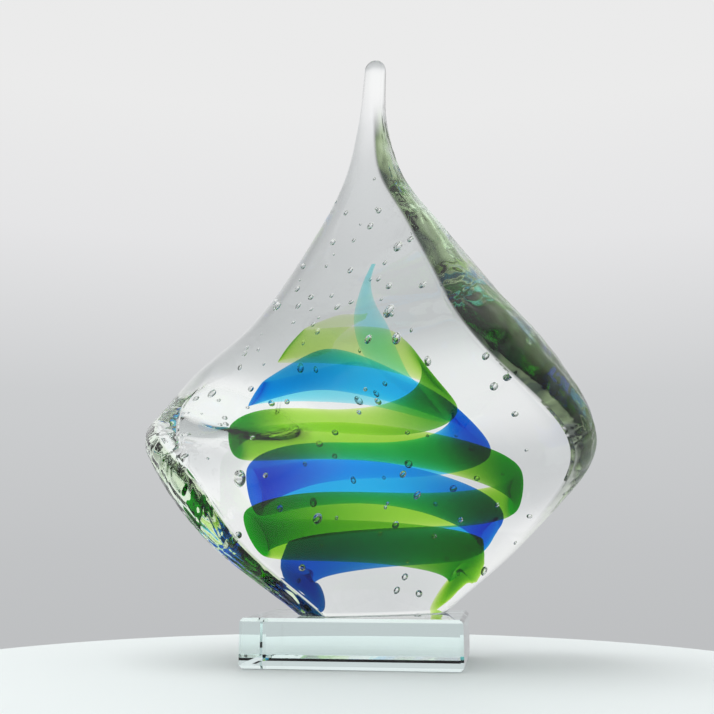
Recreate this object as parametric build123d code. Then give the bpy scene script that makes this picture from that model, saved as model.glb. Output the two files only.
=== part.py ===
"""Glass wave sculpture: a twisted clear flame with two coloured trails inside, glued to a block.

Millimetres, +Z up. The origin is the centre of the block's underside, X runs along the block
and -Y is the front.
"""

import os
from collections import namedtuple
from math import cos, dist, exp, pi, radians, sin, tanh

from build123d import *

# Base block
BASE_WIDTH = 80.0
BASE_DEPTH = 58.0
BASE_HEIGHT = 17.5
BASE_BEVEL = 1.2

# Cured glue between the block and the ground foot
GLUE_THICKNESS = 0.3
GLUE_INSET = 0.5

# Sections up the flame: height above the foot, width, thickness and sideways shift
Section = namedtuple("Section", "height width thickness shift")
FOOT = Section(0.0, 61.0, 22.0, 5.5)
SKIRT = Section(26.0, 130.0, 31.0, 5.5)
HIP = Section(56.0, 171.0, 49.0, 5.0)
BELLY = Section(76.0, 181.0, 57.0, -2.0)
CHEST = Section(96.0, 170.0, 54.5, -4.3)
SHOULDER = Section(118.0, 125.0, 39.5, 0.7)
THROAT = Section(146.0, 73.0, 26.5, 4.0)
NECK = Section(172.0, 30.5, 17.7, 5.0)
STEM = Section(196.0, 14.2, 11.0, 5.2)
TIP = Section(226.0, 8.8, 8.8, 6.7)

# Twist of the flame about Z: an S-curve from the foot to the tip
FOOT_TURN = 34.0
TIP_TURN = -37.0
TWIST_HEIGHT = 66.0
TWIST_SPREAD = 24.0

# Swell of the broad faces and of the rims, as shares of the half thickness
FACE_SWELL = 0.15
RIM_SWELL = 0.45

# Coloured trails: two flat ribbons wound round an inner core of the flame as a double helix
TRAIL_HEIGHT = 16.0
TRAIL_THICKNESS = 3.0
TRAIL_CROWN_SHARE = 0.5
RIGHT_SHARE = 0.1
BEND_SHARE = 0.65
GENTLE_SLOPE = 0.45
STEEP_SLOPE = 0.75
MOST_LEAN = 1.2
TAIL_HEIGHT = 12.0
TAIL_THICKNESS = 0.5
TAIL_SHARE = 0.2
TAIL_TURNS = 0.16
GROWTH_TURNS = 2.2
THICKENS_FROM = 0.2
THICKENS_TO = 1.6
FOOT_DROP = 10.5
DROP_TURNS = 0.05

# Each trail: angle where it starts, its core as shares of the flame's half width and half
# thickness, share of the width where it starts, tuck at the foot, heights at each quarter turn
Trail = namedtuple("Trail", "start spread depth gather tuck levels")
BLUE_LEVELS = (131.0, 86.0, 92.0, 81.0, 91.0, 76.0, 61.0, 43.0, 49.0, 32.5, 26.0, 18.0)
GREEN_LEVELS = (106.0, 101.0, 99.0, 92.0, 81.0, 60.0, 63.5, 51.0, 41.0, 29.0, 26.5, 19.5)
BLUE = Trail(270.0, 0.72, 0.44, 0.75, 0.35, BLUE_LEVELS)
GREEN = Trail(90.0, 0.79, 0.68, 0.7, 0.45, GREEN_LEVELS)

# The core closes upwards, drifts sideways under the pull of the tip and is tucked in at the foot
CORE_CLOSES = 150.0
CORE_CURVE = 1.6
CORE_DRIFT = 10.0
DRIFT_CURVE = 3.0
GATHER_TURNS = 0.6
TUCK_HEIGHT = 10.0

# Larger air bubbles trapped in the clear glass
BUBBLE_COUNT = 11
BUBBLE_SMALLEST = 2.4
BUBBLE_LARGEST = 4.4
BUBBLE_WALL = 2.0
BUBBLE_CROWDING = 0.6
BUBBLE_SIDES = 8
BUBBLE_LATITUDES = (-60.0, -20.0, 20.0, 60.0)

# Fineness of the lofts and of the measured trail skins
SECTION_STEPS = 50
TIP_STEPS = (35.0, 70.0)
TRAIL_STEPS = 24
TURN_STEP = 0.002
RISE_STEP = 0.5
SKIN_STEPS = 72
SKIN_SHARES = (-1.0, -0.5, 0.0, 0.5, 1.0)

FLAME_SECTIONS = (FOOT, SKIRT, HIP, BELLY, CHEST, SHOULDER, THROAT, NECK, STEM, TIP)
FOOT_LEVEL = BASE_HEIGHT + GLUE_THICKNESS
ROUND_SWELL = 1 - cos(pi / 4)
QUARTERS = 4
TRAIL_TURNS = (len(BLUE_LEVELS) - 1) / QUARTERS


def through(marks, values, at):
    """Smooth curve through values at rising marks."""
    spans = [b - a for a, b in zip(marks, marks[1:])]
    slopes = [(b - a) / span for a, b, span in zip(values, values[1:], spans)]
    tangents = [slopes[0]]
    for k in range(1, len(slopes)):
        weighted = slopes[k - 1] * spans[k] + slopes[k] * spans[k - 1]
        tangents.append(weighted / (spans[k - 1] + spans[k]))
    tangents.append(slopes[-1])
    k = 0
    while k < len(spans) - 1 and at > marks[k + 1]:
        k += 1
    t = (at - marks[k]) / spans[k]
    start = (1 + 2 * t) * (1 - t) ** 2 * values[k] + t * (1 - t) ** 2 * spans[k] * tangents[k]
    end = t * t * (3 - 2 * t) * values[k + 1] - t * t * (1 - t) * spans[k] * tangents[k + 1]
    return start + end


def smooth(height, field):
    """One field of the flame at a height, through the named sections."""
    heights = [row.height for row in FLAME_SECTIONS]
    return through(heights, [getattr(row, field) for row in FLAME_SECTIONS], height)


def half_width(height):
    return smooth(height, "width") / 2


def half_thickness(height):
    return smooth(height, "thickness") / 2


def turn(height):
    """Angle of the slab's long axis at a height."""
    middle = (FOOT_TURN + TIP_TURN) / 2
    reach = (FOOT_TURN - TIP_TURN) / 2
    return radians(middle + reach * tanh((TWIST_HEIGHT - height) / TWIST_SPREAD))


def place(along, across, height):
    """Point of the flame from its own long axis, short axis and height above the foot."""
    angle = turn(height)
    x = along * cos(angle) - across * sin(angle) + smooth(height, "shift")
    y = along * sin(angle) + across * cos(angle)
    return Vector(x, y, FOOT_LEVEL + height)


def blend(value, low, high):
    """0 below low, 1 above high and an eased step between them."""
    t = min(max((value - low) / (high - low), 0.0), 1.0)
    return t * t * (3 - 2 * t)


def flame_outline(height, shrink=1.0, inset=0.0, drop=0.0):
    """Closed outline at a height: two broad faces and two rims, all arcs."""
    roundness = blend(height, THROAT.height, STEM.height)
    a = half_width(height) * shrink - inset
    b = half_thickness(height) * shrink - inset
    corner_x = a - b * (RIM_SWELL + (ROUND_SWELL - RIM_SWELL) * roundness)
    corner_y = b - b * (FACE_SWELL + (ROUND_SWELL - FACE_SWELL) * roundness)

    def at(x, y):
        return place(x, y, height) - Vector(0, 0, drop)

    front_left, front_right = at(-corner_x, -corner_y), at(corner_x, -corner_y)
    back_left, back_right = at(-corner_x, corner_y), at(corner_x, corner_y)
    return Wire(
        [
            ThreePointArc(front_left, at(0, -b), front_right),
            ThreePointArc(front_right, at(a, 0), back_right),
            ThreePointArc(back_right, at(0, b), back_left),
            ThreePointArc(back_left, at(-a, 0), front_left),
        ]
    )


def make_flame():
    """Solid flame, lofted from the ground foot to the rounded tip."""
    tip_radius = TIP.width / 2
    top = TIP.height - tip_radius
    outlines = [flame_outline(top * k / SECTION_STEPS) for k in range(SECTION_STEPS + 1)]
    for step in TIP_STEPS:
        rise = radians(step)
        outlines.append(flame_outline(top + tip_radius * sin(rise), shrink=cos(rise)))
    return Solid.make_loft(outlines, ruled=True)


def trail_angle(trail, turns):
    return radians(trail.start) + 2 * pi * turns


def core_point(trail, turns, height):
    """Point of the core that a trail follows, after a number of turns and at a height."""
    angle = trail_angle(trail, turns)
    closing = max(1 - (max(height, 0.0) / CORE_CLOSES) ** CORE_CURVE, 0.0)
    tucked = 1 - trail.tuck * exp(-height / TUCK_HEIGHT)
    gathered = trail.gather + (1 - trail.gather) * blend(turns, 0.0, GATHER_TURNS)
    half = trail.spread * half_width(height) * closing * tucked * gathered
    deep = min(trail.depth * half_thickness(height), half)
    drift = CORE_DRIFT * (max(height, 0.0) / SHOULDER.height) ** DRIFT_CURVE
    return place(half * cos(angle) + drift, deep * sin(angle), height)


def trail_level(trail, turns):
    """Height of a trail after a number of turns, with the drop of its leg into the foot."""
    marks = [k / QUARTERS for k in range(len(trail.levels))]
    level = through(marks, trail.levels, turns)
    return level - FOOT_DROP * exp((turns - TRAIL_TURNS) / DROP_TURNS)


def trail_point(trail, turns):
    return core_point(trail, turns, trail_level(trail, turns))


def trail_upright(trail, turns, ahead):
    """Direction across the ribbon, up the core and square to the trail where it runs steeply."""
    level = trail_level(trail, turns)
    up_core = core_point(trail, turns, level + RISE_STEP) - core_point(trail, turns, level)
    lean = Vector(up_core.X, up_core.Y, 0) / RISE_STEP
    lean *= MOST_LEAN / max(lean.length, MOST_LEAN)
    upright = lean + Vector(0, 0, 1)
    square = blend(abs(ahead.Z), GENTLE_SLOPE, STEEP_SLOPE)
    squared = (upright - ahead * ahead.dot(upright)).normalized()
    return upright * (1 - square) + squared * square


def trail_frames(trail, steps_per_turn):
    """Middle, outward and upright directions, half height and half thickness along a trail."""
    steps = round(TRAIL_TURNS * steps_per_turn)
    frames = []
    for k in range(steps + 1):
        turns = TRAIL_TURNS * k / steps
        before = trail_point(trail, turns - TURN_STEP)
        ahead = (trail_point(trail, turns + TURN_STEP) - before).normalized()
        upright = trail_upright(trail, turns, ahead)
        outward = ahead.cross(upright).normalized()
        side = cos(trail_angle(trail, turns))
        grown = blend(turns, 0.0, GROWTH_TURNS)
        started = TAIL_SHARE + (1 - TAIL_SHARE) * blend(turns, 0.0, TAIL_TURNS)
        height = TAIL_HEIGHT + (TRAIL_HEIGHT - TAIL_HEIGHT) * grown
        height *= started * (1 + RIGHT_SHARE * side)
        thickened = blend(turns, THICKENS_FROM, THICKENS_TO)
        thickness = TAIL_THICKNESS + (TRAIL_THICKNESS - TAIL_THICKNESS) * thickened
        thickness *= 1 + BEND_SHARE * thickened * side**2
        frames.append((trail_point(trail, turns), outward, upright, height / 2, thickness / 2))
    return frames


def facet(*corners):
    return Face(Wire.make_polygon(corners))


def make_trail(trail):
    """One unbroken flat ribbon with bevelled edges, drawn with flat facets."""
    ribs = []
    for middle, outward, upright, half_high, half_thick in trail_frames(trail, TRAIL_STEPS):
        edge = upright * half_high
        rise = edge * TRAIL_CROWN_SHARE
        swell = outward * half_thick
        outer = [middle - rise + swell, middle + rise + swell]
        inner = [middle + rise - swell, middle - rise - swell]
        ribs.append([middle - edge, *outer, middle + edge, *inner])
    facets = [facet(*ribs[0]), facet(*ribs[-1])]
    for near, far in zip(ribs, ribs[1:]):
        for k in range(len(near)):
            facets.append(facet(near[k - 1], near[k], far[k]))
            facets.append(facet(near[k - 1], far[k], far[k - 1]))
    return Solid(Shell(facets))


def trail_skin(trail):
    """Points on a trail's surface, each with its step along the trail."""
    points = []
    frames = trail_frames(trail, SKIN_STEPS)
    for step, (middle, outward, upright, half_high, half_thick) in enumerate(frames):
        for share in SKIN_SHARES:
            spine = middle + upright * (half_high * share)
            swell = outward * half_thick * min((1 - abs(share)) / (1 - TRAIL_CROWN_SHARE), 1.0)
            points += [(step, tuple(spine + swell)), (step, tuple(spine - swell))]
    return points


def least_gap(skin):
    """Smallest gap between the loops of one trail."""
    return min(dist(p, q) for i, p in skin for j, q in skin if j - i > SKIN_STEPS / 3)


def halton(index, base):
    """Evenly spread share between 0 and 1."""
    value = 0.0
    step = 1.0
    while index:
        step /= base
        value += step * (index % base)
        index //= base
    return value


def make_bubble(middle, radius):
    """Round void, drawn with flats."""
    rings = []
    for latitude in BUBBLE_LATITUDES:
        reach = radius * cos(radians(latitude))
        rise = Plane(Vector(middle) + Vector(0, 0, radius * sin(radians(latitude))))
        rings.append(rise * RegularPolygon(reach, BUBBLE_SIDES).wire())
    return Solid.make_loft(rings, ruled=True)


def make_bubbles(skins):
    """Round voids scattered through the clear glass, clear of its skin, the trails and each other."""
    found = []
    index = 0
    while len(found) < BUBBLE_COUNT:
        index += 1
        radius = (BUBBLE_SMALLEST + (BUBBLE_LARGEST - BUBBLE_SMALLEST) * halton(index, 7)) / 2
        height = SKIRT.height + (THROAT.height - SKIRT.height) * halton(index, 5)
        room = radius + BUBBLE_WALL
        along = 2 * halton(index, 2) - 1
        across = 2 * halton(index, 3) - 1
        if abs(along) ** 3 + abs(across) ** 3 > BUBBLE_CROWDING:
            continue
        along *= half_width(height) - room
        across *= half_thickness(height) - room
        middle = tuple(place(along, across, height))
        if any(dist(middle, point) < room for skin in skins for _, point in skin):
            continue
        if any(dist(middle, other) < room + size for other, size in found):
            continue
        found.append((middle, radius))
    return [make_bubble(middle, radius) for middle, radius in found]


parts = {}
base = Box(BASE_WIDTH, BASE_DEPTH, BASE_HEIGHT, align=(Align.CENTER, Align.CENTER, Align.MIN))
parts["base_block"] = chamfer(base.edges(), BASE_BEVEL)
film = Face(flame_outline(FOOT.height, inset=GLUE_INSET, drop=GLUE_THICKNESS))
parts["glue_film"] = Solid.extrude(film, Vector(0, 0, GLUE_THICKNESS))

parts["blue_trail"] = make_trail(BLUE)
parts["green_trail"] = make_trail(GREEN)
blue_skin = trail_skin(BLUE)
green_skin = trail_skin(GREEN)
print("blue trail's least gap to itself", round(least_gap(blue_skin), 2), "mm")
print("green trail's least gap to itself", round(least_gap(green_skin), 2), "mm")
between = parts["blue_trail"].shell().distance_to(parts["green_trail"].shell())
print("least gap between the trails", round(between, 2), "mm")

hollows = [parts["blue_trail"], parts["green_trail"], *make_bubbles((blue_skin, green_skin))]
parts["clear_body"] = make_flame() - hollows

os.makedirs("parts", exist_ok=True)
for name, shape in parts.items():
    export_step(shape, f"parts/{name}.step")
    print(name, "volume", round(shape.volume), "mm3")
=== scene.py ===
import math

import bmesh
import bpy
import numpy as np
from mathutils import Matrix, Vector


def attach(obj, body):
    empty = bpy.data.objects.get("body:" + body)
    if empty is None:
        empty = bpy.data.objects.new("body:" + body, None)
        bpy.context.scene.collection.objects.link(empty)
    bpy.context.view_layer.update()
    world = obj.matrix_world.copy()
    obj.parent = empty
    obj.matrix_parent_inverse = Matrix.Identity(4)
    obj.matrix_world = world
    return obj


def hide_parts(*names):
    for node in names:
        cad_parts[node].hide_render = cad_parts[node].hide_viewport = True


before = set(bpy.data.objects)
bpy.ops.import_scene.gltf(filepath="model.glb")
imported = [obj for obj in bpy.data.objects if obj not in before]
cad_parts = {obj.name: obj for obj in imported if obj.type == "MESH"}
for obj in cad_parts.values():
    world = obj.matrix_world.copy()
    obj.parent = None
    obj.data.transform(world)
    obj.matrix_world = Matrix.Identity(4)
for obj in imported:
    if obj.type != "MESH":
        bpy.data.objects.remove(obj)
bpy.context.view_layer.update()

# %% [markdown]
# # A glass wave sculpture
# The real piece is a lump of clear glass, gathered hot, trailed with blue and green glass, pricked
# with air bubbles, pulled to a tip and twisted. Its foot is ground flat and glued to a cut block.
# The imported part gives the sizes. Every piece below is drawn from the same rule as the part, only
# finer, because clear glass shows every facet of a coarse mesh.

MM = 0.001

# %% [markdown]
# ## The rule of the flame
# A few named sections give the width, thickness and sideways shift of the slab at a height above
# its foot, and a smooth curve runs through them. The twist is an S-curve of the same height. One
# function then places any point of the slab, so the skin, the trails and the bubbles agree.

# %% Sections of the flame, in millimetres
BASE_HEIGHT, GLUE_THICKNESS = 17.5, 0.3
FOOT_LEVEL = BASE_HEIGHT + GLUE_THICKNESS
HEIGHT, WIDTH, THICKNESS, SHIFT = range(4)
SECTIONS = {
    "foot": (0.0, 61.0, 22.0, 5.5),
    "skirt": (26.0, 130.0, 31.0, 5.5),
    "hip": (56.0, 171.0, 49.0, 5.0),
    "belly": (76.0, 181.0, 57.0, -2.0),
    "chest": (96.0, 170.0, 54.5, -4.3),
    "shoulder": (118.0, 125.0, 39.5, 0.7),
    "throat": (146.0, 73.0, 26.5, 4.0),
    "neck": (172.0, 30.5, 17.7, 5.0),
    "stem": (196.0, 14.2, 11.0, 5.2),
    "tip": (226.0, 8.8, 8.8, 6.7),
}
SECTION_ROWS = np.array(list(SECTIONS.values()))


def through(marks, values, at):
    """Smooth curve through values at rising marks."""
    spans = np.diff(marks)
    slopes = np.diff(values) / spans
    inner = (slopes[:-1] * spans[1:] + slopes[1:] * spans[:-1]) / (spans[:-1] + spans[1:])
    tangents = np.concatenate([slopes[:1], inner, slopes[-1:]])
    k = np.clip(np.searchsorted(marks, at) - 1, 0, len(spans) - 1)
    t = (at - marks[k]) / spans[k]
    start = (1 + 2 * t) * (1 - t) ** 2 * values[k] + t * (1 - t) ** 2 * spans[k] * tangents[k]
    end = t * t * (3 - 2 * t) * values[k + 1] - t * t * (1 - t) * spans[k] * tangents[k + 1]
    return start + end


def smooth(height, column):
    """One column of the sections at a height."""
    return through(SECTION_ROWS[:, HEIGHT], SECTION_ROWS[:, column], height)


print("flame is", SECTIONS["tip"][HEIGHT], "mm tall above a foot at", FOOT_LEVEL, "mm")

# %% Twist of the flame
FOOT_TURN, TIP_TURN, TWIST_HEIGHT, TWIST_SPREAD = 34.0, -37.0, 66.0, 24.0


def turn(height):
    """Angle of the slab's long axis at a height."""
    middle = (FOOT_TURN + TIP_TURN) / 2
    reach = (FOOT_TURN - TIP_TURN) / 2
    return np.radians(middle + reach * np.tanh((TWIST_HEIGHT - height) / TWIST_SPREAD))


def place(along, across, height):
    """Points from the slab's long axis, its short axis and the height above the foot."""
    angle = turn(height)
    x = along * np.cos(angle) - across * np.sin(angle) + smooth(height, SHIFT)
    y = along * np.sin(angle) + across * np.cos(angle)
    return np.stack(np.broadcast_arrays(x, y, FOOT_LEVEL + height), axis=-1)


print("slab turns", round(math.degrees(turn(0.0)), 1), "degrees at the foot")

# %% [markdown]
# ## The skin of the flame
# Each ring of the skin has two broad faces, two rims and four edges that the fire has rounded. The
# skin could be a subdivided cage, but then its thickness would drift from the part's, so each ring
# is drawn as arcs. The front edges are crisp beside a rim that was squeezed with tools, on the left
# below the twist and on the right above it, and soft where the slab was left alone.

# %% Outline of a section
FACE_SWELL, RIM_SWELL = 0.15, 0.45
ROUND_SWELL = 1 - math.cos(math.pi / 4)
ROUND_RUN = (172.0, 208.0)
CRISP_EASE, SOFT_EASE, BACK_EASE, SOFT_RUN = 2.4, 14.0, 3.0, 60.0
MOST_FACE_EASED, MOST_RIM_EASED = 1 / 3, 0.7
FACE_POINTS, EDGE_POINTS, RIM_POINTS = 24, 8, 14


def eased(value, low, high):
    """0 below low, 1 above high and an eased step between them."""
    t = np.clip((value - low) / (high - low), 0.0, 1.0)
    return t * t * (3 - 2 * t)


def above_twist(height):
    """0 well below the twist and 1 well above it."""
    return eased(height, TWIST_HEIGHT - SOFT_RUN / 2, TWIST_HEIGHT + SOFT_RUN / 2)


def section_sizes(height, shrink=1.0, inset=0.0):
    """Half width, half thickness, and the swell of the rims and of the faces."""
    roundness = eased(height, *ROUND_RUN)
    half_width = smooth(height, WIDTH) / 2 * shrink - inset
    half_thick = smooth(height, THICKNESS) / 2 * shrink - inset
    rim = half_thick * (RIM_SWELL + (ROUND_SWELL - RIM_SWELL) * roundness)
    face = half_thick * (FACE_SWELL + (ROUND_SWELL - FACE_SWELL) * roundness)
    return half_width, half_thick, rim, face


def quarter(half_width, half_thick, rim, face, ease):
    """Quarter of an outline, from the middle of the rim over the edge to the middle of the face."""
    corner = np.array([half_width - rim, half_thick - face])
    ease_x = min(ease, corner[0] * MOST_FACE_EASED)
    ease_y = min(ease, corner[1] * MOST_RIM_EASED)
    rim_share = np.linspace(0, 1 - ease_y / corner[1], RIM_POINTS)
    rim_part = np.stack([half_width - rim * rim_share**2, corner[1] * rim_share], -1)
    face_share = np.linspace(1 - ease_x / corner[0], 0, FACE_POINTS)
    face_part = np.stack([corner[0] * face_share, half_thick - face * face_share**2], -1)
    t = np.linspace(0, 1, EDGE_POINTS + 2)[1:-1, None]
    edge_part = (1 - t) ** 2 * rim_part[-1] + 2 * t * (1 - t) * corner + t * t * face_part[0]
    return np.concatenate([rim_part, edge_part, face_part])


def outline(height, sizes):
    """Plain outline of a section, anticlockwise from the middle of the right rim."""
    above = above_twist(height)
    back = quarter(*sizes, BACK_EASE)
    left = quarter(*sizes, CRISP_EASE + (SOFT_EASE - CRISP_EASE) * above) * (-1, -1)
    right = quarter(*sizes, SOFT_EASE + (CRISP_EASE - SOFT_EASE) * above) * (1, -1)
    return np.concatenate([back, (back * (-1, 1))[-2:0:-1], left, right[-2:0:-1]])


print("an outline has", len(outline(TWIST_HEIGHT, section_sizes(TWIST_HEIGHT))), "points")

# %% [markdown]
# ## Tool marks
# The squeezed rims keep a few wandering grooves along them and fine ripples across. Bump alone could
# draw them, but they also show in the outline, so they are pressed into the mesh. They matter more
# than their size suggests: they break the light in the rims into streaks and sparkles. Three shares
# are kept for the finish: where a rim was worked, how far across it a point lies, which sets painted
# shade at the rim's edges and painted light between them, and how hazy it is.

# %% Tool marks on the rims
GROOVE, GROOVE_COUNT, GROOVE_SWAYS = 0.55, 1.6, ((1.3, 17.0), (0.6, 6.3))
RIPPLE, RIPPLE_LENGTH, RIPPLE_SLANT, RIPPLE_SWAY = 0.12, 9.0, 2.7, (1.7, 8.0)
# The second and third numbers set the painted light of the left rim and the painted shade at a rim's
# far edge.
LEFT_OFFSET, LEFT_PAINTED_LIGHT, FAR_EDGE_PAINTED_SHADE = 31.0, 0.55, (0.85, 1.0)
WORKED_LOWER, WORKED_END = 25.0, (188.0, 206.0)


def swayed(height, reach, length):
    """Slow wave along a rim."""
    return reach * np.sin(height / length)


def ripple(height, share):
    """Depth of the tool marks on a rim, at a height and a share of the rim's half width."""
    sway = sum(swayed(height, *rule) for rule in GROOVE_SWAYS)
    grooves = np.sin(2 * np.pi * GROOVE_COUNT * share + sway)
    slanted = RIPPLE_SLANT * share
    waves = np.sin(2 * np.pi * height / RIPPLE_LENGTH - slanted + swayed(height, *RIPPLE_SWAY))
    return (GROOVE * grooves + RIPPLE * waves) * (1 - share**2)


def tool_marked(ring, height, sizes):
    """Outline with the tool marks pressed into its rims, and the shares that the finish and its
    painted light read.
    """
    half_width, half_thick, rim, face = sizes
    on_left = ring[:, 0] < 0
    share = np.clip(ring[:, 1] / (half_thick - face), -1, 1)
    edge = half_width - rim
    squeezed = np.where(on_left, 1 - above_twist(height), above_twist(height + WORKED_LOWER))
    worked = eased(np.abs(ring[:, 0]), edge - CRISP_EASE / 2, edge) * squeezed
    worked *= 1 - eased(height, *WORKED_END)
    across = np.clip(share + 1, 0, 1)
    # The across share paints light and shade into the rims: painted shade at the front and far edges,
    # painted light between them, and the left rim paler overall.
    painted_light_share = np.where(on_left, LEFT_PAINTED_LIGHT + (1 - LEFT_PAINTED_LIGHT) * across, across)
    shares = {
        "worked": worked,
        "haze": np.where(on_left, 0, worked * across),
        "across": painted_light_share * (1 - eased(share, *FAR_EDGE_PAINTED_SHADE)),
    }
    depth = np.abs(ripple(height + LEFT_OFFSET * on_left, share) * worked)
    ring[:, 0] -= np.sign(ring[:, 0]) * depth
    return ring, shares


print("tool marks are up to", round(GROOVE + RIPPLE, 2), "mm deep")

# %% Rings of the skin
SKIN_RINGS, TIP_RINGS = 170, 9


def flame_rings():
    """Rings of the skin from the foot to just under the top of the tip, with the shares on them."""
    tip_radius = SECTIONS["tip"][WIDTH] / 2
    top = SECTIONS["tip"][HEIGHT] - tip_radius
    levels = [(height, 1.0) for height in np.linspace(0, top, SKIN_RINGS)]
    for rise in np.linspace(0, np.pi / 2, TIP_RINGS + 2)[1:-1]:
        levels.append((top + tip_radius * np.sin(rise), np.cos(rise)))
    rings, shares = [], []
    for height, shrink in levels:
        sizes = section_sizes(height, shrink)
        ring, ring_shares = tool_marked(outline(height, sizes), height, sizes)
        rings.append(place(ring[:, 0], ring[:, 1], height))
        shares.append(ring_shares)
    return np.array(rings), {label: np.array([s[label] for s in shares]) for label in shares[0]}


skin_rings, skin_shares = flame_rings()
print("skin has", len(skin_rings), "rings of", skin_rings.shape[1], "points")

# %% A mesh through rings of points


def ring_mesh(name, rings, flat_ends=()):
    """Closed mesh through rings in millimetres; a fan closes each end, flat where it is named."""
    count, around = rings.shape[:2]
    points = np.concatenate([rings.reshape(-1, 3), rings[:1].mean(1), rings[-1:].mean(1)]) * MM
    j = np.arange(around)
    after = (j + 1) % around
    steps = np.arange(count - 1)[:, None] * around
    walls = np.stack([steps + j, steps + after, steps + around + after, steps + around + j], -1)
    last = (count - 1) * around
    foot_fan = [(b, a, count * around) for a, b in zip(j, after)]
    top_fan = [(last + a, last + b, count * around + 1) for a, b in zip(j, after)]
    mesh = bpy.data.meshes.new(name)
    mesh.from_pydata(points.tolist(), [], walls.reshape(-1, 4).tolist() + foot_fan + top_fan)
    curved = np.ones(len(mesh.polygons), bool)
    first_fan = len(mesh.polygons) - 2 * around
    if "foot" in flat_ends:
        curved[first_fan : first_fan + around] = False
    if "top" in flat_ends:
        curved[first_fan + around :] = False
    mesh.polygons.foreach_set("use_smooth", curved)
    mesh.update()
    return mesh


def keep_shares(mesh, label, values):
    """Attribute with one number for each point."""
    attribute = mesh.attributes.new(label, "FLOAT", "POINT")
    attribute.data.foreach_set("value", np.asarray(values, np.float32))


skin_mesh = ring_mesh("flame_skin", skin_rings, flat_ends=("foot",))
FAN_MIDDLES = (0.0, 0.0)
for label, shares in skin_shares.items():
    keep_shares(skin_mesh, label, np.append(shares.ravel(), FAN_MIDDLES))
print("skin mesh has", len(skin_mesh.polygons), "faces")

# %% [markdown]
# ## The coloured trails
# A trail is a rod of coloured glass that was laid round the hot core as a spiral and sank into it.
# The pull at the tip has drawn the middle of each loop upwards and stretched the start to a thin
# tail, and the ends run down into the foot. The path is a formula. Geometry Nodes sweep an oval
# along it, because the oval is the same everywhere and only its size and direction change.

# %% Path of a trail
START, SPREAD, DEPTH, GATHER, TUCK, LEVELS = range(6)
TRAILS = {
    "blue_trail": (
        270.0, 0.72, 0.44, 0.75, 0.35,
        (131.0, 86.0, 92.0, 81.0, 91.0, 76.0, 61.0, 43.0, 49.0, 32.5, 26.0, 18.0),
    ),
    "green_trail": (
        90.0, 0.79, 0.68, 0.7, 0.45,
        (106.0, 101.0, 99.0, 92.0, 81.0, 60.0, 63.5, 51.0, 41.0, 29.0, 26.5, 19.5),
    ),
}
QUARTERS = 4
TRAIL_TURNS = (len(TRAILS["blue_trail"][LEVELS]) - 1) / QUARTERS
CORE_CLOSES, CORE_CURVE, CORE_DRIFT, DRIFT_CURVE = 150.0, 1.6, 10.0, 3.0
GATHER_TURNS, TUCK_HEIGHT = 0.6, 10.0
FOOT_DROP, DROP_TURNS = 10.5, 0.05


def trail_angle(trail, turns):
    """Angle round the core after numbers of turns."""
    return np.radians(trail[START]) + 2 * np.pi * turns


def core_points(trail, turns, height):
    """Points of the core that a trail follows, after numbers of turns and at heights."""
    angle = trail_angle(trail, turns)
    closing = np.maximum(1 - (np.maximum(height, 0.0) / CORE_CLOSES) ** CORE_CURVE, 0.0)
    tucked = 1 - trail[TUCK] * np.exp(-height / TUCK_HEIGHT)
    gathered = trail[GATHER] + (1 - trail[GATHER]) * eased(turns, 0.0, GATHER_TURNS)
    half = trail[SPREAD] * smooth(height, WIDTH) / 2 * closing * tucked * gathered
    deep = np.minimum(trail[DEPTH] * smooth(height, THICKNESS) / 2, half)
    drift = CORE_DRIFT * (np.maximum(height, 0.0) / SECTIONS["shoulder"][HEIGHT]) ** DRIFT_CURVE
    return place(half * np.cos(angle) + drift, deep * np.sin(angle), height)


def trail_points(trail, turns):
    """Middles of a trail after numbers of turns, with the drop of its leg into the foot."""
    levels = np.array(trail[LEVELS])
    level = through(np.arange(len(levels)) / QUARTERS, levels, turns)
    drop = FOOT_DROP * np.exp((turns - TRAIL_TURNS) / DROP_TURNS)
    return core_points(trail, turns, level - drop)


print("each trail makes", round(TRAIL_TURNS, 2), "turns")

# %% Directions and sizes along a trail
TRAIL_HEIGHT, TRAIL_THICKNESS, RIGHT_SHARE, BEND_SHARE = 16.0, 3.0, 0.1, 0.65
TAIL_HEIGHT, TAIL_THICKNESS, TAIL_SHARE, TAIL_TURNS = 12.0, 0.5, 0.2, 0.16
GROWTH_TURNS, THICKENS_FROM, THICKENS_TO = 2.2, 0.2, 1.6
GENTLE_SLOPE, STEEP_SLOPE, MOST_LEAN = 0.45, 0.75, 1.2
TURN_STEP, RISE_STEP = 0.002, 0.5


def unit(vectors):
    """Vectors of length 1."""
    return vectors / np.linalg.norm(vectors, axis=-1, keepdims=True)


def upright_directions(trail, turns, middle, ahead):
    """Directions across the ribbon: up the core, and square to the trail where it runs steeply."""
    above = core_points(trail, turns, middle[:, 2] - FOOT_LEVEL + RISE_STEP)
    upright = (above - middle) / RISE_STEP
    lean = np.linalg.norm(upright[:, :2], axis=1)
    upright[:, :2] *= (MOST_LEAN / np.maximum(lean, MOST_LEAN))[:, None]
    square = eased(np.abs(ahead[:, 2]), GENTLE_SLOPE, STEEP_SLOPE)[:, None]
    squared = unit(upright - ahead * (ahead * upright).sum(1)[:, None])
    return upright * (1 - square) + squared * square


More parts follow.
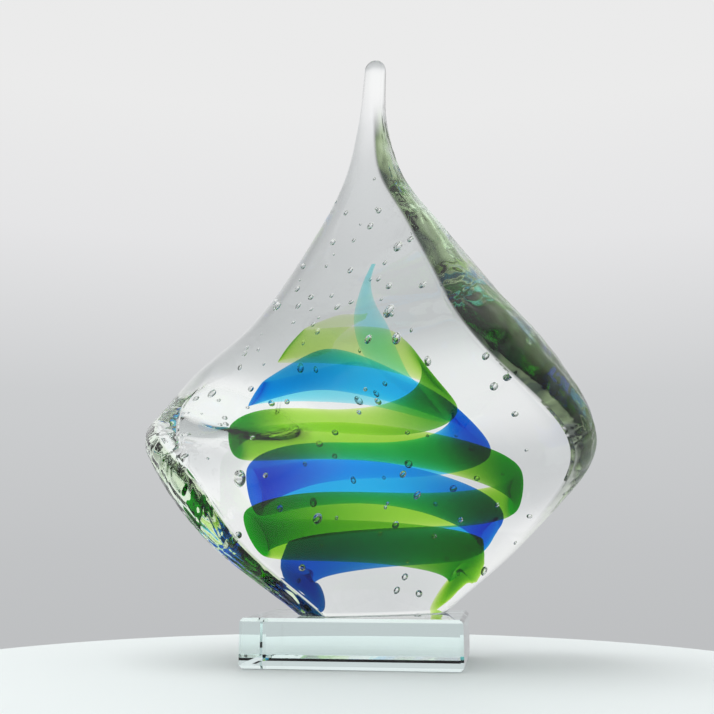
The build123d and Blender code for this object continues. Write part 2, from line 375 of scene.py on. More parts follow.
def trail_frames(trail, steps_per_turn):
    """Middles, outward and upright directions, half heights and half thicknesses along a trail."""
    turns = np.linspace(0, TRAIL_TURNS, round(TRAIL_TURNS * steps_per_turn) + 1)
    middle = trail_points(trail, turns)
    ahead = unit(trail_points(trail, turns + TURN_STEP) - trail_points(trail, turns - TURN_STEP))
    upright = upright_directions(trail, turns, middle, ahead)
    outward = unit(np.cross(ahead, upright))
    side = np.cos(trail_angle(trail, turns))
    started = TAIL_SHARE + (1 - TAIL_SHARE) * eased(turns, 0.0, TAIL_TURNS)
    high = TAIL_HEIGHT + (TRAIL_HEIGHT - TAIL_HEIGHT) * eased(turns, 0.0, GROWTH_TURNS)
    high = started * high * (1 + RIGHT_SHARE * side)
    thickened = eased(turns, THICKENS_FROM, THICKENS_TO)
    thickness = TAIL_THICKNESS + (TRAIL_THICKNESS - TAIL_THICKNESS) * thickened
    thickness = thickness * (1 + BEND_SHARE * thickened * side**2)
    return middle, outward, upright, high / 2, thickness / 2


print("trails are", TRAIL_HEIGHT, "mm tall and", TRAIL_THICKNESS, "mm thick on the faces")

# %% Helpers for node trees


def new_tree(name, inputs):
    """Empty tree with a geometry in and out and named inputs; returns it and their identifiers."""
    tree = bpy.data.node_groups.new(name, "GeometryNodeTree")
    tree.interface.new_socket("Geometry", in_out="INPUT", socket_type="NodeSocketGeometry")
    named = {}
    for label, kind in inputs.items():
        socket = tree.interface.new_socket(label, in_out="INPUT", socket_type=kind)
        named[label] = socket.identifier
    tree.interface.new_socket("Geometry", in_out="OUTPUT", socket_type="NodeSocketGeometry")
    return tree, named


def add(tree, kind, links=None, **settings):
    """Node of a kind, with its settings and with sockets or plain values for its inputs."""
    node = tree.nodes.new(kind)
    for key, value in settings.items():
        setattr(node, key, value)
    for key, value in (links or {}).items():
        if isinstance(value, bpy.types.NodeSocket):
            tree.links.new(value, node.inputs[key])
        else:
            node.inputs[key].default_value = value
    return node


def named_field(tree, name, kind):
    """Attribute that the points carry under a name."""
    node = add(tree, "GeometryNodeInputNamedAttribute", {"Name": name}, data_type=kind)
    return node.outputs["Attribute"]


def calculate(tree, operation, *values, clamp=False):
    """Number worked out from others."""
    links = dict(enumerate(values))
    node = add(tree, "ShaderNodeMath", links, operation=operation, use_clamp=clamp)
    return node.outputs["Value"]


def scaled(tree, vector, factor):
    """Vector times a number."""
    node = add(tree, "ShaderNodeVectorMath", {0: vector, "Scale": factor}, operation="SCALE")
    return node.outputs["Vector"]


def combined(tree, operation, first, second):
    """Vector worked out from two others."""
    node = add(tree, "ShaderNodeVectorMath", {0: first, 1: second}, operation=operation)
    return node.outputs["Vector"]


def realize_with(tree, geometry, glass):
    """Ends a tree: smooth faces, no instances left, and one glass."""
    rounded = add(tree, "GeometryNodeSetShadeSmooth", {"Geometry": geometry})
    realized = add(tree, "GeometryNodeRealizeInstances", {"Geometry": rounded.outputs["Geometry"]})
    glazed = add(
        tree,
        "GeometryNodeSetMaterial",
        {"Geometry": realized.outputs["Geometry"], "Material": glass},
    )
    group_out = tree.nodes.new("NodeGroupOutput")
    tree.links.new(glazed.outputs["Geometry"], group_out.inputs["Geometry"])


print("node helpers:", [helper.__name__ for helper in (new_tree, add, calculate, realize_with)])

# %% Geometry Nodes that sweep an oval along a trail
ribbon_tree, ribbon_inputs = new_tree(
    "oval_ribbon",
    {"Sides": "NodeSocketInt", "Plumpness": "NodeSocketFloat", "Glass": "NodeSocketMaterial"},
)
ribbon_in = ribbon_tree.nodes.new("NodeGroupInput")
path = add(ribbon_tree, "GeometryNodeMeshToCurve", {"Mesh": ribbon_in.outputs["Geometry"]})
oval = add(
    ribbon_tree,
    "GeometryNodeCurvePrimitiveCircle",
    {"Resolution": ribbon_in.outputs["Sides"], "Radius": 1.0},
)
oval_place = ribbon_tree.nodes.new("GeometryNodeInputPosition")
oval_kept = add(
    ribbon_tree,
    "GeometryNodeStoreNamedAttribute",
    {"Geometry": oval.outputs["Curve"], "Name": "oval", "Value": oval_place.outputs["Position"]},
    data_type="FLOAT_VECTOR",
)
swept = add(
    ribbon_tree,
    "GeometryNodeCurveToMesh",
    {
        "Curve": path.outputs["Curve"],
        "Profile Curve": oval_kept.outputs["Geometry"],
        "Fill Caps": True,
    },
)
oval_axes = add(
    ribbon_tree,
    "ShaderNodeSeparateXYZ",
    {"Vector": named_field(ribbon_tree, "oval", "FLOAT_VECTOR")},
)
plump = calculate(
    ribbon_tree, "MULTIPLY", oval_axes.outputs["X"], ribbon_in.outputs["Plumpness"]
)
out_step = scaled(ribbon_tree, named_field(ribbon_tree, "outward", "FLOAT_VECTOR"), plump)
upright_field = named_field(ribbon_tree, "upright", "FLOAT_VECTOR")
up_step = scaled(ribbon_tree, upright_field, oval_axes.outputs["Y"])
oval_step = combined(ribbon_tree, "ADD", out_step, up_step)
middle_field = named_field(ribbon_tree, "middle", "FLOAT_VECTOR")
shaped = add(
    ribbon_tree,
    "GeometryNodeSetPosition",
    {
        "Geometry": swept.outputs["Mesh"],
        "Position": combined(ribbon_tree, "ADD", middle_field, oval_step),
    },
)
realize_with(ribbon_tree, shaped.outputs["Geometry"], ribbon_in.outputs["Glass"])
print("ribbon tree has", len(ribbon_tree.nodes), "nodes")

# %% [markdown]
# ## Clear glass
# Clear glass bends light and hardly tints it. A plain glass shader would do for a perfect lump, but
# stirred glass keeps striae, slow waves of tint and slope. A soft noise on the object's own
# coordinates gives both. The faint green of thick glass comes from an absorbing volume, which is the
# only way that makes long paths greener than short ones.

# %% Flame glass and block glass
GLASS_INDEX = 1.5
MELT_SCALE, MELT_WARP, MELT_RANGE = 55.0, 0.6, (0.3, 0.7)
SPARE_STOP = 0.5


def new_material(name):
    """Material with its tree, its shader and its output."""
    material = bpy.data.materials.new(name)
    material.use_nodes = True
    tree = material.node_tree
    return material, tree, tree.nodes["Principled BSDF"], tree.nodes["Material Output"]


def absorb(tree, output, colour, density):
    """Light taken away on the way through, per metre."""
    links = {"Color": (*colour, 1.0), "Density": density}
    volume = add(tree, "ShaderNodeVolumeAbsorption", links)
    tree.links.new(volume.outputs["Volume"], output.inputs["Volume"])


def ramp_between(tree, factor, stops):
    """Colours along a factor: pairs of a place from 0 to 1 and a colour."""
    ramp = add(tree, "ShaderNodeValToRGB", {"Fac": factor})
    elements = ramp.color_ramp.elements
    while len(elements) < len(stops):
        elements.new(SPARE_STOP)
    for element, (where, colour) in zip(elements, stops):
        element.position = where
        element.color = (*colour, 1.0)
    return ramp.outputs["Color"]


def make_glass(shader, index):
    """Polished glass that lets all light through."""
    shader.inputs["Roughness"].default_value = 0.0
    shader.inputs["IOR"].default_value = index
    shader.inputs["Transmission Weight"].default_value = 1.0


def clear_glass(name, pale, clear, absorbing, density, striae):
    """Clear glass with faint striae, left by the stirring of the melt."""
    material, tree, shader, output = new_material(name)
    make_glass(shader, GLASS_INDEX)
    coords = tree.nodes.new("ShaderNodeTexCoord")
    melt = add(
        tree,
        "ShaderNodeTexNoise",
        {
            "Vector": coords.outputs["Object"],
            "Scale": MELT_SCALE,
            "Detail": 1.0,
            "Distortion": MELT_WARP,
        },
    ).outputs["Fac"]
    tint = ramp_between(tree, melt, tuple(zip(MELT_RANGE, (pale, clear))))
    slope = add(tree, "ShaderNodeBump", {"Height": melt, "Strength": striae, "Distance": MM})
    tree.links.new(tint, shader.inputs["Base Color"])
    tree.links.new(slope.outputs["Normal"], shader.inputs["Normal"])
    absorb(tree, output, absorbing, density)
    return material


flame_glass = clear_glass(
    "clear_glass",
    pale=(0.985, 0.995, 0.99),
    clear=(1.0, 1.0, 1.0),
    absorbing=(0.6, 0.9, 0.8),
    density=1.2,
    striae=0.05,
)
block_glass = clear_glass(
    "block_glass",
    pale=(0.97, 0.99, 0.985),
    clear=(0.985, 1.0, 0.995),
    absorbing=(0.35, 0.9, 0.85),
    density=3.0,
    striae=0.0,
)
print("clear materials:", flame_glass.name, "and", block_glass.name)

# %% [markdown]
# ## Tool-marked rims and their painted light
# Seen from the front, a rim shows the light that has run along the whole slab, past both colours:
# olive, nearly black at the front edge and pale in streaks. That light is painted into the glass's
# colour: painted shade nearly black at the edges, olive painted light, and pale painted highlights in
# streaks. The tools also left a finer waviness than the mesh holds. So the flame's glass gets a
# stretched noise where the skin says it was worked: it paints that light and shade into the glass's
# colour along a ramp and adds slope. The right rim is a little hazy and scatters some of its light,
# as glass does that touched the tools for longer.

# %% Finish of the rims, with their painted light and shade
MARK_SCALE, MARK_STRETCH, MARK_WARP, MARK_SLOPE = 75.0, 0.5, 1.6, 1.2
MARK_HAZE, MARK_SCATTER, EDGE_PAINTED_SHADE_SHARE = 0.22, 0.2, 0.55
# Painted light and shade of the rims: nearly black painted shade, olive painted light and pale
# painted highlights.
RIM_PAINTED_LIGHT_TINTS = (
    (0.25, (0.01, 0.02, 0.01)),
    (0.38, (0.12, 0.2, 0.06)),
    (0.5, (0.42, 0.62, 0.24)),
    (0.64, (0.68, 0.94, 0.5)),
    (0.8, (0.95, 1.0, 0.9)),
)


def share_of(tree, name):
    """Number that the mesh carries under a name."""
    return add(tree, "ShaderNodeAttribute", attribute_name=name).outputs["Fac"]


def mix_numbers(tree, factor, first, second):
    """Number between two numbers."""
    links = {0: factor, 2: first, 3: second}
    return add(tree, "ShaderNodeMix", links, data_type="FLOAT").outputs[0]


def mix_colours(tree, factor, first, second, blend="MIX"):
    """Colour between two colours."""
    links = {0: factor, 6: first, 7: second}
    return add(tree, "ShaderNodeMix", links, data_type="RGBA", blend_type=blend).outputs[2]


def tool_marks_and_painted_light(material):
    """Wavy rims where tools have squeezed the glass, with painted light and painted shade in their
    tint.
    """
    tree = material.node_tree
    shader = tree.nodes["Principled BSDF"]
    tint = shader.inputs["Base Color"].links[0].from_socket
    slope = shader.inputs["Normal"].links[0].from_socket
    coords = tree.nodes.new("ShaderNodeTexCoord")
    stretched = combined(tree, "MULTIPLY", coords.outputs["Object"], (1.0, 1.0, MARK_STRETCH))
    waves = add(
        tree,
        "ShaderNodeTexNoise",
        {"Vector": stretched, "Scale": MARK_SCALE, "Detail": 1.0, "Distortion": MARK_WARP},
    ).outputs["Fac"]
    worked = share_of(tree, "worked")
    # The rim's tint is painted light: painted shade at its edges, olive light through the slab and
    # pale painted highlights in streaks.
    shade = mix_numbers(tree, EDGE_PAINTED_SHADE_SHARE, waves, share_of(tree, "across"))
    painted_rim_light = ramp_between(tree, shade, RIM_PAINTED_LIGHT_TINTS)
    steeper = add(
        tree,
        "ShaderNodeBump",
        {
            "Height": calculate(tree, "MULTIPLY", waves, worked),
            "Strength": MARK_SLOPE,
            "Distance": MM,
            "Normal": slope,
        },
    )
    hazy = share_of(tree, "haze")
    rough = calculate(tree, "MULTIPLY", hazy, MARK_HAZE)
    let_through = calculate(tree, "MULTIPLY_ADD", hazy, -MARK_SCATTER, 1.0)
    tree.links.new(mix_colours(tree, worked, tint, painted_rim_light), shader.inputs["Base Color"])
    tree.links.new(steeper.outputs["Normal"], shader.inputs["Normal"])
    tree.links.new(rough, shader.inputs["Roughness"])
    tree.links.new(let_through, shader.inputs["Transmission Weight"])


tool_marks_and_painted_light(flame_glass)
print(flame_glass.name, "has", len(flame_glass.node_tree.nodes), "nodes")

# %% [markdown]
# ## Coloured glass
# Coloured glass inside clear glass bends nothing, as both have about the same index: it only takes
# light away, more where the light runs further through it. So the trails get an index of 1 and an
# absorbing volume. A surface tint runs along each trail: pale at the stretched tail, and dark in
# the leg of the blue one. It deepens where the ribbon turns back at the sides, because the soft
# glass gathered there.

# %% Blue glass and green glass
TRAIL_INDEX = 1.0
BLUE_TINTS = (
    (0.0, (0.75, 0.97, 0.93)),
    (0.25, (0.6, 0.93, 1.0)),
    (0.6, (0.45, 0.84, 1.0)),
    (0.88, (0.4, 0.72, 0.95)),
    (0.95, (0.04, 0.12, 0.34)),
)
GREEN_TINTS = (
    (0.0, (0.97, 1.0, 0.85)),
    (0.3, (0.94, 1.0, 0.7)),
    (0.7, (0.88, 1.0, 0.55)),
    (1.0, (0.9, 1.0, 0.6)),
)


def trail_glass(name, tints, deep, absorbing, density):
    """Coloured glass sealed in clear glass: pale at the tail, and deep where it turns back."""
    material, tree, shader, output = new_material(name)
    make_glass(shader, TRAIL_INDEX)
    tint = ramp_between(tree, share_of(tree, "along"), tints)
    gathered = mix_colours(tree, share_of(tree, "turning"), tint, (*deep, 1.0))
    tree.links.new(gathered, shader.inputs["Base Color"])
    absorb(tree, output, absorbing, density)
    return material


TRAIL_GLASS = {
    "blue_trail": trail_glass(
        "blue_glass",
        BLUE_TINTS,
        deep=(0.03, 0.2, 0.72),
        absorbing=(0.12, 0.87, 0.98),
        density=1150.0,
    ),
    "green_trail": trail_glass(
        "green_glass",
        GREEN_TINTS,
        deep=(0.0, 0.42, 0.0),
        absorbing=(0.73, 0.9, 0.3),
        density=1000.0,
    ),
}
print("coloured materials:", [material.name for material in TRAIL_GLASS.values()])

# %% [markdown]
# ## Sweeping the two trails
# The path goes in as a line of points that carry their own directions and sizes. The tree reads
# them by name. Its inputs are set by identifier before the first evaluation, the result is kept
# as a plain mesh, and the modifier goes.

# %% The trails
TRAIL_STEPS, TRAIL_SIDES, TRAIL_PLUMPNESS = 96, 28, 1.1
TURNS_BACK, TAIL_CLEAR = (0.25, 0.85), (0.12, 0.4)


def path_mesh(name, fields):
    """Line of points with the directions, sizes and shares that the ribbon tree reads."""
    middle, outward, upright, half_high, half_thick = fields
    mesh = bpy.data.meshes.new(name + "_path")
    edges = [(k, k + 1) for k in range(len(middle) - 1)]
    mesh.from_pydata((middle * MM).tolist(), edges, [])
    vectors = {
        "middle": middle * MM,
        "outward": outward * half_thick[:, None] * MM,
        "upright": upright * half_high[:, None] * MM,
    }
    for label, values in vectors.items():
        attribute = mesh.attributes.new(label, "FLOAT_VECTOR", "POINT")
        attribute.data.foreach_set("vector", values.ravel())
    along = np.linspace(0, 1, len(middle))
    course = np.abs(unit(np.gradient(middle, axis=0))[:, 1])
    keep_shares(mesh, "along", along)
    keep_shares(mesh, "turning", eased(course, *TURNS_BACK) * eased(along, *TAIL_CLEAR))
    return mesh


def shown(name, data):
    """Object at the origin that shows a mesh, a lamp or a camera."""
    piece = bpy.data.objects.new(name, data)
    bpy.context.scene.collection.objects.link(piece)
    return piece


def grown(piece, tree, settings):
    """Plain mesh of what a tree makes of an object; the modifier is removed."""
    modifier = piece.modifiers.new(tree.name, "NODES")
    modifier.node_group = tree
    for identifier, value in settings.items():
        modifier[identifier] = value
    evaluated = piece.evaluated_get(bpy.context.evaluated_depsgraph_get())
    mesh = bpy.data.meshes.new_from_object(evaluated)
    piece.modifiers.clear()
    return mesh


def sweep_trail(name, rule):
    """Trail with its faces turned outwards."""
    piece = shown(name + "_glass", path_mesh(name, trail_frames(rule, TRAIL_STEPS)))
    settings = {
        ribbon_inputs["Sides"]: TRAIL_SIDES,
        ribbon_inputs["Plumpness"]: TRAIL_PLUMPNESS,
        ribbon_inputs["Glass"]: TRAIL_GLASS[name],
    }
    mesh = grown(piece, ribbon_tree, settings)
    form = bmesh.new()
    form.from_mesh(mesh)
    bmesh.ops.recalc_face_normals(form, faces=form.faces)
    form.to_mesh(mesh)
    form.free()
    piece.data = mesh
    return piece


trail_pieces = {name: sweep_trail(name, rule) for name, rule in TRAILS.items()}
for name, piece in trail_pieces.items():
    print(name, "has", len(piece.data.polygons), "faces")

# %% [markdown]
# ## Air bubbles
# The bubbles were pricked into the hot glass and drawn out a little when it was twisted. They are
# voids, so their faces look into the air inside them and they belong to the skin's own mesh. The
# large ones are those of the part. A low-discrepancy series spreads the rest, fewer where the
# flame is narrow, and each one keeps clear of the skin, the trails and the others.

# %% Room that the trails take
CLEAR_STEPS, CROWN_SHARE = 72, 0.5
CLEAR_SHARES = np.array([-1.0, -0.5, 0.0, 0.5, 1.0])


def trail_skin(rule):
    """Points on a trail's surface, for keeping bubbles clear of it."""
    middle, outward, upright, half_high, half_thick = trail_frames(rule, CLEAR_STEPS)
    spine = middle[:, None] + upright[:, None] * half_high[:, None, None] * CLEAR_SHARES[:, None]
    flat = np.minimum((1 - np.abs(CLEAR_SHARES)) / (1 - CROWN_SHARE), 1.0)[:, None]
    swell = outward[:, None] * half_thick[:, None, None] * flat
    return np.concatenate([(spine + swell).reshape(-1, 3), (spine - swell).reshape(-1, 3)])


taken = np.concatenate([trail_skin(rule) for rule in TRAILS.values()])
print(len(taken), "points to keep clear of")

# %% Places of the bubbles
LARGE_COUNT, LARGE_SIZES, LARGE_WALL, LARGE_CROWDING = 11, (2.4, 4.4), 2.0, 0.6
FINE_COUNT, FINE_SIZES, FINE_WALL, FINE_CROWDING, LOWEST_FINE = 125, (1.1, 3.0), 1.0, 1.0, 8.0
ALONG_BASE, ACROSS_BASE, HEIGHT_BASE, SIZE_BASE, THINNING_BASE = 2, 3, 5, 7, 11
CROWDING_POWER = 3


def halton(index, base):
    """Evenly spread share between 0 and 1."""
    value, step = 0.0, 1.0
    while index:
        step /= base
        value += step * (index % base)
        index //= base
    return value


def scatter(found, count, sizes, wall, crowding, heights, thinned):
    """Adds bubbles between two heights until there are count of them."""
    smallest, largest = sizes
    low, high = heights
    index = 0
    while len(found) < count:
        index += 1
        radius = (smallest + (largest - smallest) * halton(index, SIZE_BASE)) / 2
        height = low + (high - low) * halton(index, HEIGHT_BASE)
        along = 2 * halton(index, ALONG_BASE) - 1
        across = 2 * halton(index, ACROSS_BASE) - 1
        if abs(along) ** CROWDING_POWER + abs(across) ** CROWDING_POWER > crowding:
            continue
        width = smooth(height, WIDTH)
        if thinned and halton(index, THINNING_BASE) > width / SECTIONS["belly"][WIDTH]:
            continue
        room = radius + wall
        along *= width / 2 - room
        across *= smooth(height, THICKNESS) / 2 - room
        middle = place(along, across, height)
        if np.linalg.norm(taken - middle, axis=1).min() < room:
            continue
        if any(np.linalg.norm(other - middle) < room + size for other, size in found):
            continue
        found.append((middle, radius))


bubbles = []
skirt, throat, neck = (SECTIONS[k][HEIGHT] for k in ("skirt", "throat", "neck"))
scatter(bubbles, LARGE_COUNT, LARGE_SIZES, LARGE_WALL, LARGE_CROWDING, (skirt, throat), False)
all_bubbles = LARGE_COUNT + FINE_COUNT
scatter(bubbles, all_bubbles, FINE_SIZES, FINE_WALL, FINE_CROWDING, (LOWEST_FINE, neck), True)
print(len(bubbles), "bubbles, the largest", round(2 * max(r for _, r in bubbles), 2), "mm")

# %% Geometry Nodes that blow the bubbles
BUBBLE_TILT = 0.3

bubble_tree, bubble_inputs = new_tree(
    "blown_bubbles",
    {
        "Fineness": "NodeSocketInt",
        "Stretch": "NodeSocketFloat",
        "Lean": "NodeSocketFloat",
        "Seed": "NodeSocketInt",
        "Glass": "NodeSocketMaterial",
    },
)
bubble_in = bubble_tree.nodes.new("NodeGroupInput")
ball = add(
    bubble_tree,
    "GeometryNodeMeshIcoSphere",
    {"Radius": 1.0, "Subdivisions": bubble_in.outputs["Fineness"]},
)
hollow = add(bubble_tree, "GeometryNodeFlipFaces", {"Mesh": ball.outputs["Mesh"]})
long_share = add(
    bubble_tree,
    "FunctionNodeRandomValue",
    {"Min": 1.0, "Max": bubble_in.outputs["Stretch"], "Seed": bubble_in.outputs["Seed"]},
    data_type="FLOAT",
)
drawn_out = next(output for output in long_share.outputs if output.enabled)
radius_field = named_field(bubble_tree, "bubble_radius", "FLOAT")
form_size = add(
    bubble_tree,
    "ShaderNodeCombineXYZ",
    {
        "X": radius_field,
        "Y": radius_field,
        "Z": calculate(bubble_tree, "MULTIPLY", radius_field, drawn_out),
    },
)
lean_angle = add(
    bubble_tree,
    "ShaderNodeCombineXYZ",
    {"X": BUBBLE_TILT, "Y": bubble_in.outputs["Lean"], "Z": 0.0},
)
blown = add(
    bubble_tree,
    "GeometryNodeInstanceOnPoints",
    {
        "Points": bubble_in.outputs["Geometry"],
        "Instance": hollow.outputs["Mesh"],
        "Rotation": lean_angle.outputs["Vector"],
        "Scale": form_size.outputs["Vector"],
    },
)
realize_with(bubble_tree, blown.outputs["Instances"], bubble_in.outputs["Glass"])
print("bubble tree has", len(bubble_tree.nodes), "nodes")

# %% The bubbles
BUBBLE_FINENESS, BUBBLE_STRETCH, BUBBLE_LEAN, BUBBLE_SEED = 3, 1.5, 0.7, 5

bubble_places = bpy.data.meshes.new("bubble_places")
bubble_places.from_pydata([(middle * MM).tolist() for middle, _ in bubbles], [], [])
keep_shares(bubble_places, "bubble_radius", [radius * MM for _, radius in bubbles])
bubble_piece = shown("bubbles", bubble_places)
bubble_settings = {
    bubble_inputs["Fineness"]: BUBBLE_FINENESS,
    bubble_inputs["Stretch"]: BUBBLE_STRETCH,
    bubble_inputs["Lean"]: BUBBLE_LEAN,
    bubble_inputs["Seed"]: BUBBLE_SEED,
    bubble_inputs["Glass"]: flame_glass,
}
bubble_mesh = grown(bubble_piece, bubble_tree, bubble_settings)
bpy.data.objects.remove(bubble_piece)
print("bubbles have", len(bubble_mesh.polygons), "faces")

# %% The clear flame, skin and bubbles in one mesh
form = bmesh.new()
form.from_mesh(skin_mesh)
form.from_mesh(bubble_mesh)
form.to_mesh(skin_mesh)
form.free()
skin_mesh.materials.clear()
skin_mesh.materials.append(flame_glass)
flame = shown("clear_flame", skin_mesh)
print("flame with its bubbles has", len(skin_mesh.polygons), "faces")

# %% [markdown]
# ## Block and glue
# The block is sawn, polished and bevelled. It is a box whose edges are bevelled in the mesh, which
# keeps its flat faces exact. Cured glue fills the joint without a trace of air. The film therefore
# laps a hair into the glass above and below it: light that enters the film and leaves the flame just
# after is bent back to where it was going, as in a real joint.

# %% The block
BASE_WIDTH, BASE_DEPTH, BASE_BEVEL = 80.0, 58.0, 1.2

block_mesh = bpy.data.meshes.new("base_block_glass")
form = bmesh.new()
bmesh.ops.create_cube(form, size=1.0)
block_size = (BASE_WIDTH * MM, BASE_DEPTH * MM, BASE_HEIGHT * MM)
bmesh.ops.scale(form, vec=block_size, verts=form.verts)
bmesh.ops.translate(form, vec=(0, 0, BASE_HEIGHT * MM / 2), verts=form.verts)
bmesh.ops.bevel(
    form, geom=form.edges, offset=BASE_BEVEL * MM, segments=1, profile=0.5, affect="EDGES"
)
form.to_mesh(block_mesh)
form.free()
block_mesh.materials.append(block_glass)
block = shown("glass_block", block_mesh)
# Clear glass lets light down to the floor, which a shadow without caustics would not show.
block.visible_shadow = False
print("block has", len(block_mesh.polygons), "faces")

# %% The film of glue
GLUE_INSET, GLUE_LAP = 0.5, 0.05

film_ring = outline(0.0, section_sizes(0.0, inset=GLUE_INSET))
film_low = place(film_ring[:, 0], film_ring[:, 1], 0.0)
film_high = film_low.copy()
film_low[:, 2] = BASE_HEIGHT - GLUE_LAP
film_high[:, 2] = FOOT_LEVEL + GLUE_LAP
film_rings = np.array([film_low, film_high])
film_mesh = ring_mesh("glue_film_clear", film_rings, flat_ends=("foot", "top"))
glue_clear = clear_glass(
    "clear_glue",
    pale=(0.97, 0.98, 0.97),
    clear=(1.0, 1.0, 1.0),
    absorbing=(0.8, 0.9, 0.85),
    density=5.0,
    striae=0.0,
)
film_mesh.materials.append(glue_clear)
film = shown("clear_glue_film", film_mesh)
print("block and glue reach", round(FOOT_LEVEL + GLUE_LAP, 2), "mm up")

# %% [markdown]
# ## Floor, light and camera
# A round pale floor carries the piece. The camera sees a pale backdrop all round. Rays that have met
# the glass see the same backdrop lit in a few broad directions, behind, above, below, on the right
# and in front, and dim between them, as a studio with panels is: clear glass has no colour of its
# own, so only this dimness draws its edges. Everything dull gets an even light.

# %% Floor
FLOOR_RADIUS, FLOOR_DROP, FLOOR_SIDES = 172.0, 0.3, 128
FLOOR_MIDDLE = (0.0, -35.0)
FLOOR_COLOUR, FLOOR_ROUGHNESS = (0.78, 0.83, 0.83, 1.0), 0.6

floor_mesh = bpy.data.meshes.new("pale_floor")
floor_points = []
for k in range(FLOOR_SIDES):
    angle = 2 * math.pi * k / FLOOR_SIDES
    x = FLOOR_MIDDLE[0] + FLOOR_RADIUS * math.cos(angle)
    y = FLOOR_MIDDLE[1] + FLOOR_RADIUS * math.sin(angle)
    floor_points.append((x * MM, y * MM, -FLOOR_DROP * MM))
floor_mesh.from_pydata(floor_points, [], [tuple(range(FLOOR_SIDES))])
floor_material, _, floor_shader, _ = new_material("pale_floor")
floor_shader.inputs["Base Color"].default_value = FLOOR_COLOUR
floor_shader.inputs["Roughness"].default_value = FLOOR_ROUGHNESS
floor_mesh.materials.append(floor_material)
floor = shown("pale_floor", floor_mesh)
# Reflections in the glass show the studio, without the floor's round edge in them.
floor.visible_glossy = False
print("floor is", 2 * FLOOR_RADIUS, "mm across")

# %% World: what is seen in each direction
BACKDROP_LOW, BACKDROP_HIGH = -0.3, 0.7
BACKDROP_TINTS = (
    (0.0, (0.45, 0.46, 0.47)),
    (0.3, (0.54, 0.55, 0.56)),
    (0.45, (0.61, 0.62, 0.63)),
    (0.6, (0.78, 0.78, 0.79)),
    (0.72, (0.83, 0.83, 0.83)),
)
DIM = 0.15
# Axis, where along it the light begins and is full, and its level.
GLOWS = {
    "behind": ("Y", 0.25, 0.72, 1.12),
    "above": ("Z", 0.5, 0.8, 1.15),
    "below": ("Z", 0.02, -0.2, 1.0),
    "right": ("X", 0.5, 0.85, 1.0),
    "front": ("Y", -0.4, -0.8, 1.2),
}

world = bpy.data.worlds.new("studio")
bpy.context.scene.world = world
world.use_nodes = True
sky = world.node_tree
sky.nodes.clear()
direction = sky.nodes.new("ShaderNodeTexCoord")
axes = add(sky, "ShaderNodeSeparateXYZ", {"Vector": direction.outputs["Generated"]})
rise = add(
    sky,
    "ShaderNodeMapRange",
    {"Value": axes.outputs["Z"], "From Min": BACKDROP_LOW, "From Max": BACKDROP_HIGH},
)
backdrop = ramp_between(sky, rise.outputs["Result"], BACKDROP_TINTS)


def glow(axis, start, full, level):
    """Light that grows along an axis to a level."""
    links = {"Value": axes.outputs[axis], "From Min": start, "From Max": full}
    links.update({"To Min": DIM, "To Max": level})
    node = add(sky, "ShaderNodeMapRange", links, interpolation_type="SMOOTHSTEP")
    return node.outputs["Result"]


lit = glow(*GLOWS["behind"])
for side in ("above", "below", "right", "front"):
    lit = calculate(sky, "MAXIMUM", lit, glow(*GLOWS[side]))
in_glass = mix_colours(sky, 1.0, backdrop, lit, blend="MULTIPLY")
print("studio is lit from", len(GLOWS), "directions")

# %% World: which rays see it
EVEN_LIGHT = 0.85

rays = sky.nodes.new("ShaderNodeLightPath").outputs
background = mix_colours(sky, rays["Is Camera Ray"], in_glass, backdrop)
through_glass = calculate(sky, "ADD", rays["Is Glossy Ray"], rays["Is Transmission Ray"])
seen = calculate(sky, "ADD", through_glass, rays["Is Camera Ray"], clamp=True)
even = add(
    sky, "ShaderNodeBackground", {"Color": (1.0, 1.0, 1.0, 1.0), "Strength": EVEN_LIGHT}
)
view_light = add(sky, "ShaderNodeBackground", {"Color": background, "Strength": 1.0})
blend_light = add(
    sky,
    "ShaderNodeMixShader",
    {"Fac": seen, 1: even.outputs["Background"], 2: view_light.outputs["Background"]},
)
world_out = sky.nodes.new("ShaderNodeOutputWorld")
sky.links.new(blend_light.outputs["Shader"], world_out.inputs["Surface"])
print("world has", len(sky.nodes), "nodes")

# %% Softbox, in metres
SOFTBOX_PLACE, SOFTBOX_AIM = (-0.2, -0.1, 0.9), (0.0, 0.0, 0.1)
SOFTBOX_SIZE, SOFTBOX_WATTS = 0.6, 3.0


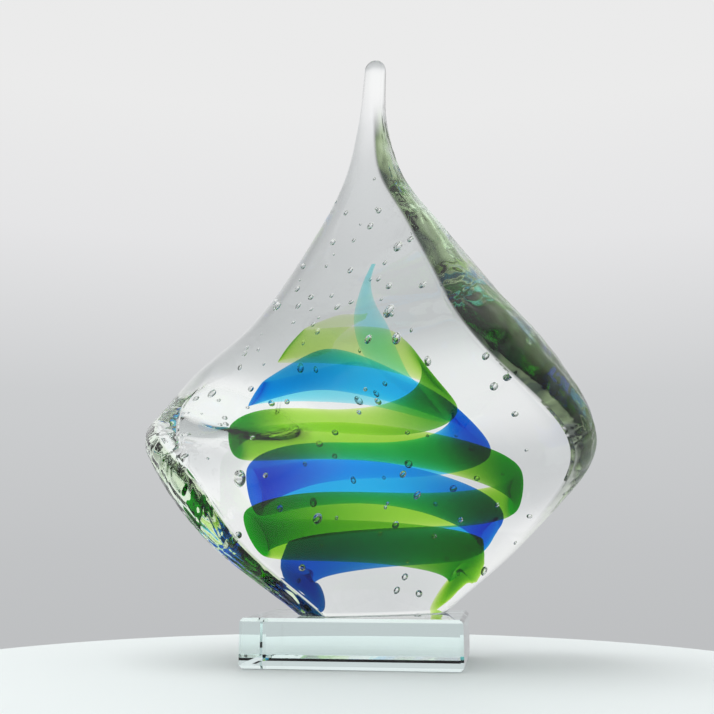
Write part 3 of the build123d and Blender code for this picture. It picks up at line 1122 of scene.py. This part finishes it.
def aim(item, forward):
    """Turns a lamp or a camera to look forward."""
    item.rotation_mode = "QUATERNION"
    item.rotation_quaternion = forward.to_track_quat("-Z", "Y")


softbox_data = bpy.data.lights.new("softbox", "AREA")
softbox_data.size = SOFTBOX_SIZE
softbox_data.energy = SOFTBOX_WATTS
softbox = shown("softbox", softbox_data)
softbox.visible_glossy = False
softbox.visible_transmission = False
softbox.location = SOFTBOX_PLACE
aim(softbox, Vector(SOFTBOX_AIM) - softbox.location)
print("softbox gives", SOFTBOX_WATTS, "watts")

# %% Camera, in millimetres and degrees
CAMERA_AZIMUTH, CAMERA_DISTANCE, CAMERA_HEIGHT = 8.0, 392.0, 41.5
CAMERA_YAW, CAMERA_PITCH = 0.2, 10.9
FOCAL_PIXELS, FRAME_PIXELS, SENSOR = 1000.0, 714.0, 36.0
NEAREST = 10.0

azimuth = math.radians(CAMERA_AZIMUTH)
look = math.radians(CAMERA_AZIMUTH + CAMERA_YAW)
pitch = math.radians(CAMERA_PITCH)
camera_data = bpy.data.cameras.new("camera")
camera_data.sensor_width = SENSOR
camera_data.lens = FOCAL_PIXELS / FRAME_PIXELS * SENSOR
camera_data.clip_start = NEAREST * MM
camera = shown("camera", camera_data)
camera.location = (
    CAMERA_DISTANCE * math.sin(azimuth) * MM,
    -CAMERA_DISTANCE * math.cos(azimuth) * MM,
    CAMERA_HEIGHT * MM,
)
level_step = math.cos(pitch)
forward = (-math.sin(look) * level_step, math.cos(look) * level_step, math.sin(pitch))
aim(camera, Vector(forward))
bpy.context.scene.camera = camera
bpy.context.scene.view_settings.view_transform = "Standard"
print("camera lens", round(camera_data.lens, 1), "mm")

# %% [markdown]
# ## Putting the pieces on the frame
# Nothing moves, so every piece rides on the root. Each stands for its own node of the part, which
# is hidden, and its glass bears the name of that node's slot.

# %% Frame
for piece, node, slot in (
    (flame, "clear_body", "clear_glass"),
    (trail_pieces["blue_trail"], "blue_trail", "blue_glass"),
    (trail_pieces["green_trail"], "green_trail", "green_glass"),
    (block, "base_block", "block_glass"),
    (film, "glue_film", "clear_glue"),
):
    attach(piece, "root")
    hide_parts(node)
